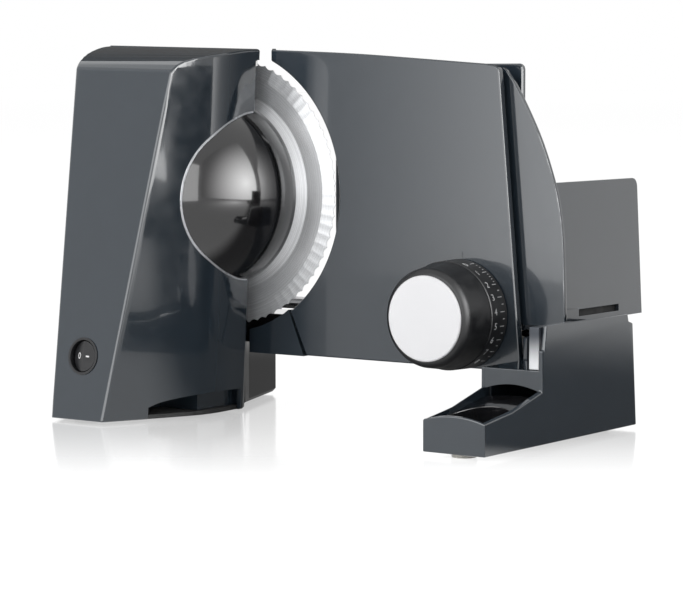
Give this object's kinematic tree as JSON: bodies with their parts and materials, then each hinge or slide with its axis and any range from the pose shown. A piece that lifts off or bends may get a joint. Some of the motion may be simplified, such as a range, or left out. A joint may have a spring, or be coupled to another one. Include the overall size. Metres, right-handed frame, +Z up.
{
  "type": "food slicer",
  "caption": "Electric kitchen food slicer with a round scalloped blade, domed gear cover, sliding stop plate with a dial, food carriage with leftover holder, and an outrigger foot.",
  "frame": {"origin": "centre of the slicer's footprint, on the floor under its rubber feet", "axes": "+X from the motor tower to the operator's foot, +Y from the slice side to the food side, +Z up"},
  "size_m": [0.359, 0.2708, 0.231],
  "materials": {
    "slate_gloss": "glossy",
    "black_gloss": "glossy",
    "black_matte": "satin",
    "rubber": "matte",
    "steel": "brushed",
    "blade_steel": "polished",
    "silver_cap": "satin",
    "bronze": "satin",
    "iron": "matte",
    "nylon": "satin"
  },
  "bodies": {
    "housing": {"motor_housing": "slate_gloss", "housing_back": "slate_gloss", "gear_dome": "black_gloss", "bottom_cover": "black_matte", "cord_bay_liner": "slate_gloss", "cord_gland": "rubber", "rubber_foot_1": "rubber", "rubber_foot_2": "rubber", "rubber_foot_3": "rubber", "rubber_foot_4": "rubber", "switch_bezel": "black_matte", "housing_screw_1": "steel", "housing_screw_2": "steel", "housing_screw_3": "steel", "housing_screw_4": "steel", "foot_screw_1": "steel", "foot_screw_2": "steel", "chassis_base": "slate_gloss", "chassis_cover": "black_matte", "lower_guard": "slate_gloss", "right_foot": "slate_gloss", "channel_block": "slate_gloss", "guide_rod": "steel", "motor_can": "steel", "motor_endbell": "black_matte", "motor_bracket": "steel", "gear_frame": "steel", "spindle_bush": "bronze", "spindle_end_bush": "bronze", "worm_bush": "bronze", "plate_bush_1": "nylon", "plate_bush_2": "nylon"},
    "blade_group": {"blade": "blade_steel", "blade_spindle": "steel", "blade_gear": "nylon", "gear_nut": "steel"},
    "blade_lock": {"lock_knob": "black_matte"},
    "drive": {"worm_shaft": "steel", "armature": "iron"},
    "stop_plate_group": {"stop_plate": "slate_gloss", "plate_carrier": "steel"},
    "dial": {"dial_scale": "black_matte", "dial_grip": "black_matte", "dial_cap": "silver_cap", "dial_hub": "nylon"},
    "carriage": {"carriage_bed": "slate_gloss", "thumb_guard": "slate_gloss", "rod_sleeve": "black_matte", "glide_block": "nylon"},
    "leftover_holder": {"holder_plate": "slate_gloss", "holder_spikes": "steel", "holder_handle": "black_matte", "holder_guide": "black_matte"},
    "switch": {"switch_rocker": "black_matte"}
  },
  "joints": [
    {"name": "blade_spin", "type": "hinge", "parent": "housing", "child": "blade_group", "pos_m": [-0.0875, -0.0145, 0.138], "axis": [0, 1, 0], "continuous": true},
    {"name": "worm_spin", "type": "hinge", "parent": "housing", "child": "drive", "pos_m": [-0.1305, -0.0545, 0.138], "axis": [0, 0, 1], "continuous": true},
    {"name": "lock_turn", "type": "hinge", "parent": "blade_group", "child": "blade_lock", "pos_m": [-0.0875, -0.0145, 0.138], "axis": [0, 1, 0], "range_deg": [0, 90]},
    {"name": "plate_slide", "type": "slide", "parent": "housing", "child": "stop_plate_group", "axis": [0, -1, 0], "range_m": [0, 0.02]},
    {"name": "dial_turn", "type": "hinge", "parent": "stop_plate_group", "child": "dial", "pos_m": [0.0932, -0.0145, 0.0691], "axis": [0, -1, 0], "range_deg": [0, 300]},
    {"name": "carriage_slide", "type": "slide", "parent": "housing", "child": "carriage", "axis": [-1, 0, 0], "range_m": [0, 0.19]},
    {"name": "holder_slide", "type": "slide", "parent": "carriage", "child": "leftover_holder", "axis": [0, 1, 0], "range_m": [0, 0.084]},
    {"name": "switch_rock", "type": "hinge", "parent": "housing", "child": "switch", "pos_m": [-0.1105, -0.12909, 0.0405], "axis": [0, 0.1622, 0.9868], "range_deg": [0, 16]}
  ],
  "couplings": [
    {"joint": "worm_spin", "follows": "blade_spin", "ratio": -40},
    {"joint": "dial_turn", "follows": "plate_slide", "rad_per_m": 261.79}
  ]
}
